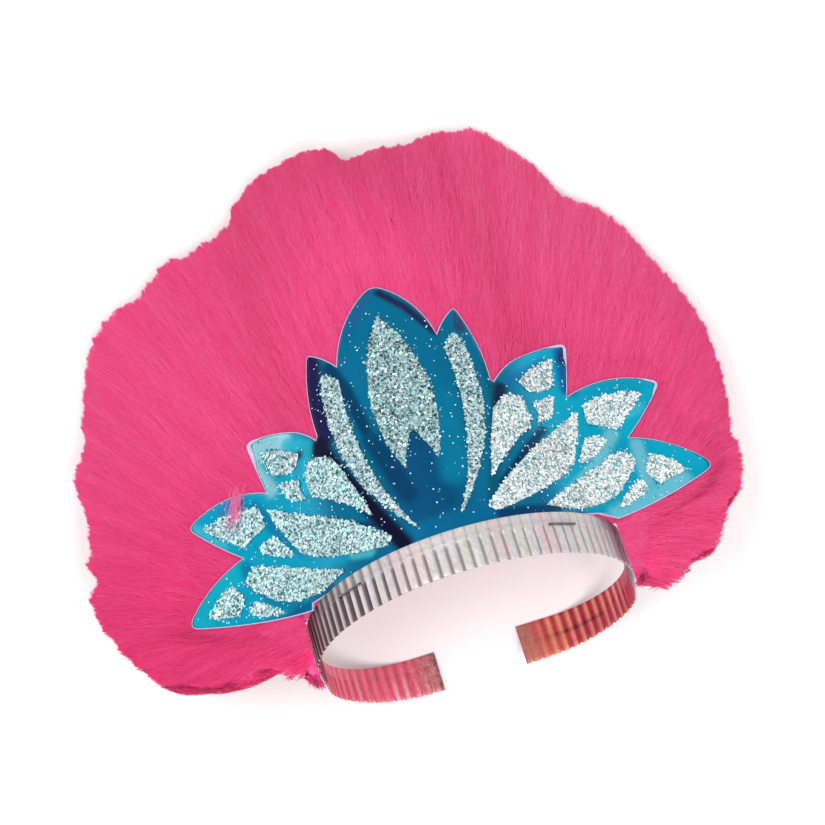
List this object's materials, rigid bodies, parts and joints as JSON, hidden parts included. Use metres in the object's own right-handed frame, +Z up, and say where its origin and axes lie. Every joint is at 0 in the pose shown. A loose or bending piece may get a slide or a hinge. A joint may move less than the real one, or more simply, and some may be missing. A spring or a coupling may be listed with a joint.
{
  "type": "tiara",
  "caption": "Feathered stage tiara: ribbed open headband, petal-shaped foil plate with glitter patches, and a broad pink marabou plume fanned out behind it.",
  "frame": {"origin": "centre of the bounding box on the surface that the tiara lies on", "axes": "+X to the wearer's left, along the plume's width; +Y towards the plume's top; +Z up, out of the tiara's front as it lies on its back"},
  "size_m": [0.3242, 0.2754, 0.1487],
  "materials": {
    "silver_foil": "metallised silver foil on a ribbed plastic strip, pink to copper sheen on the inner face",
    "teal_foil": "metallised teal foil on card, with a clear cut edge",
    "glitter": "coarse silver glitter in glue, with teal and pink specks",
    "staple_wire": "dark steel wire",
    "marabou": "dyed marabou down, soft and matte"
  },
  "bodies": {
    "root": {"band": "silver_foil", "patch_centre": "glitter", "patch_first_inner_left": "glitter", "patch_first_inner_right": "glitter", "patch_first_upper_left": "glitter", "patch_first_upper_right": "glitter", "patch_first_wedge_left": "glitter", "patch_first_wedge_right": "glitter", "patch_second_inner_left": "glitter", "patch_second_inner_right": "glitter", "patch_second_outer_left": "glitter", "patch_second_outer_right": "glitter", "patch_second_wedge_left": "glitter", "patch_second_wedge_right": "glitter", "patch_stripe_left": "glitter", "patch_stripe_right": "glitter", "patch_third_inner_left": "glitter", "patch_third_inner_right": "glitter", "patch_third_outer_left": "glitter", "patch_third_outer_right": "glitter", "patch_third_small_left": "glitter", "patch_third_small_right": "glitter", "plate": "teal_foil", "plume": "marabou", "staple_left": "staple_wire", "staple_right": "staple_wire"}
  },
  "joints": []
}
